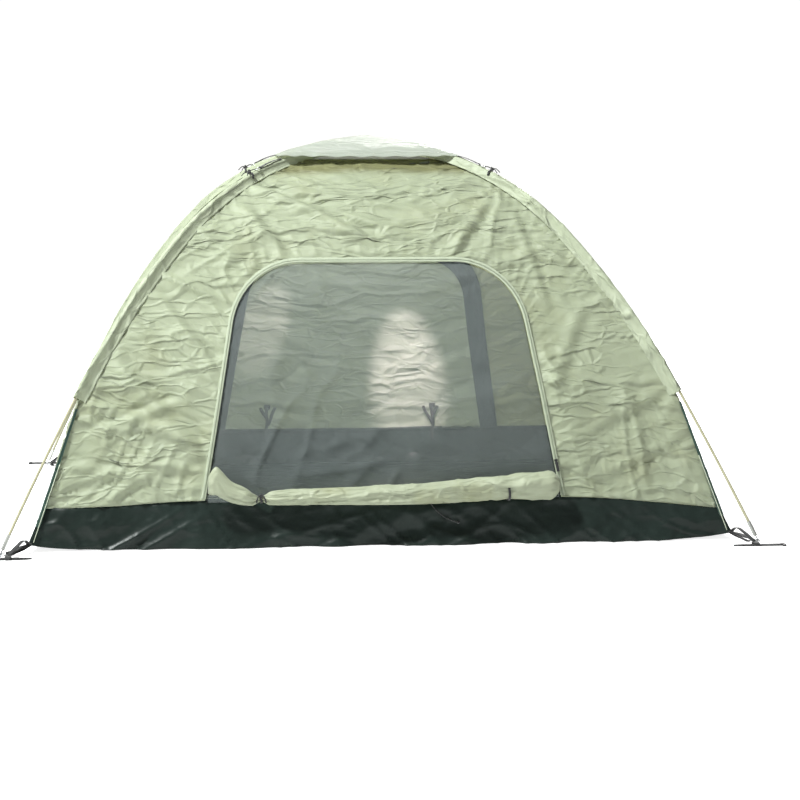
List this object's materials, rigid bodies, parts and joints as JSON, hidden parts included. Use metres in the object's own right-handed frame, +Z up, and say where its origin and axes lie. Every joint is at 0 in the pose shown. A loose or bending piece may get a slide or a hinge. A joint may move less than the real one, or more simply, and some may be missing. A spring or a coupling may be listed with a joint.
{
  "type": "dome tent",
  "caption": "Small sage green dome tent on crossed bendy poles, with a dark tub groundsheet, a D-shaped mesh door, a rolled outer door, a rain cap and corner straps with pegs.",
  "frame": {"origin": "centre of the floor, at ground level", "axes": "+X to the right seen from the front door, +Y from the front door to the rear door, +Z up"},
  "size_m": [2.26, 1.706, 1.1539],
  "materials": {
    "groundsheet": "glossy woven polyethylene",
    "sage_fabric": "coated polyester",
    "mesh": "fine polyester netting",
    "rod": "pale fibreglass",
    "steel": "zinc-plated steel",
    "elastic": "elastic cord",
    "webbing": "black polypropylene webbing",
    "seam_binding": "dark green binding tape",
    "peg": "moulded plastic",
    "zip_tape": "black coil zip tape",
    "zip_flap": "dark coated polyester",
    "zip_metal": "black-coated metal",
    "toggle": "moulded plastic",
    "rain_cap": "pale coated polyester",
    "cord": "black braided cord"
  },
  "bodies": {
    "tent": {"groundsheet_floor": "groundsheet", "tub_front": "groundsheet", "tub_rear": "groundsheet", "tub_left": "groundsheet", "tub_right": "groundsheet", "front_wall": "sage_fabric", "rear_wall": "sage_fabric", "left_wall": "sage_fabric", "right_wall": "sage_fabric", "roof_vent": "mesh", "sleeve_front_left": "sage_fabric", "sleeve_front_right": "sage_fabric", "sleeve_rear_left": "sage_fabric", "sleeve_rear_right": "sage_fabric", "pole_a_section_1": "rod", "pole_a_section_2": "rod", "pole_a_section_3": "rod", "pole_a_section_4": "rod", "pole_a_section_5": "rod", "pole_a_section_6": "rod", "pole_a_section_7": "rod", "pole_b_section_1": "rod", "pole_b_section_2": "rod", "pole_b_section_3": "rod", "pole_b_section_4": "rod", "pole_b_section_5": "rod", "pole_b_section_6": "rod", "pole_b_section_7": "rod", "pole_a_ferrules": "steel", "pole_b_ferrules": "steel", "pole_a_shock_cord": "elastic", "pole_b_shock_cord": "elastic", "pole_end_tips": "steel", "corner_pins": "steel", "corner_rings": "steel", "corner_straps": "webbing", "corner_seam_tapes": "seam_binding", "front_zip_tape": "zip_tape", "front_door_roll": "sage_fabric", "roll_ties": "webbing", "roll_toggle": "toggle", "rear_zip_tape": "zip_tape", "rear_zip_flap": "zip_flap", "rear_door_ties": "webbing", "cap_ties": "cord", "tub_tie_cord": "cord"},
    "mesh_door": {"front_mesh_door": "mesh"},
    "rear_door": {"rear_door": "sage_fabric"},
    "rain_cap": {"rain_cap": "rain_cap", "cap_straps": "webbing", "cap_rings": "steel"},
    "front_zip_slider": {"front_zip_slider": "zip_metal"},
    "front_zip_pull": {"front_zip_pull": "zip_metal"},
    "rear_zip_slider": {"rear_zip_slider": "zip_metal"},
    "rear_zip_pull": {"rear_zip_pull": "zip_metal"},
    "peg_front_left": {"ground_peg_front_left": "peg"},
    "peg_front_right": {"ground_peg_front_right": "peg"},
    "peg_rear_left": {"ground_peg_rear_left": "peg"},
    "peg_rear_right": {"ground_peg_rear_right": "peg"}
  },
  "joints": [
    {"name": "mesh_door_drop", "type": "hinge", "parent": "tent", "child": "mesh_door", "pos_m": [0, -0.7156, 0.128], "axis": [1, 0, 0], "range_deg": [-70, 0]},
    {"name": "rear_door_drop", "type": "hinge", "parent": "tent", "child": "rear_door", "pos_m": [0, 0.7156, 0.128], "axis": [1, 0, 0], "range_deg": [-105, 0]},
    {"name": "rain_cap_lift", "type": "slide", "parent": "tent", "child": "rain_cap", "axis": [0, 0, 1], "range_m": [0, 0.3]},
    {"name": "front_zip_slide", "type": "slide", "parent": "tent", "child": "front_zip_slider", "axis": [-0.1727, 0.2489, 0.953], "range_m": [0, 0.14]},
    {"name": "front_zip_pull_swing", "type": "hinge", "parent": "front_zip_slider", "child": "front_zip_pull", "pos_m": [0.494, -0.69695, 0.23219], "axis": [0.985, 0.0436, 0.1671], "range_deg": [-150, 0]},
    {"name": "rear_zip_slide", "type": "slide", "parent": "tent", "child": "rear_zip_slider", "axis": [0.1727, -0.2489, 0.953], "range_m": [0, 0.14]},
    {"name": "rear_zip_pull_swing", "type": "hinge", "parent": "rear_zip_slider", "child": "rear_zip_pull", "pos_m": [-0.494, 0.69695, 0.23219], "axis": [-0.985, -0.0436, 0.1671], "range_deg": [-150, 0]},
    {"name": "peg_front_left_pull", "type": "slide", "parent": "tent", "child": "peg_front_left", "axis": [-1, 0, 0], "range_m": [0, 0.15]},
    {"name": "peg_front_right_pull", "type": "slide", "parent": "tent", "child": "peg_front_right", "axis": [1, 0, 0], "range_m": [0, 0.15]},
    {"name": "peg_rear_left_pull", "type": "slide", "parent": "tent", "child": "peg_rear_left", "axis": [-1, 0, 0], "range_m": [0, 0.15]},
    {"name": "peg_rear_right_pull", "type": "slide", "parent": "tent", "child": "peg_rear_right", "axis": [1, 0, 0], "range_m": [0, 0.15]}
  ]
}
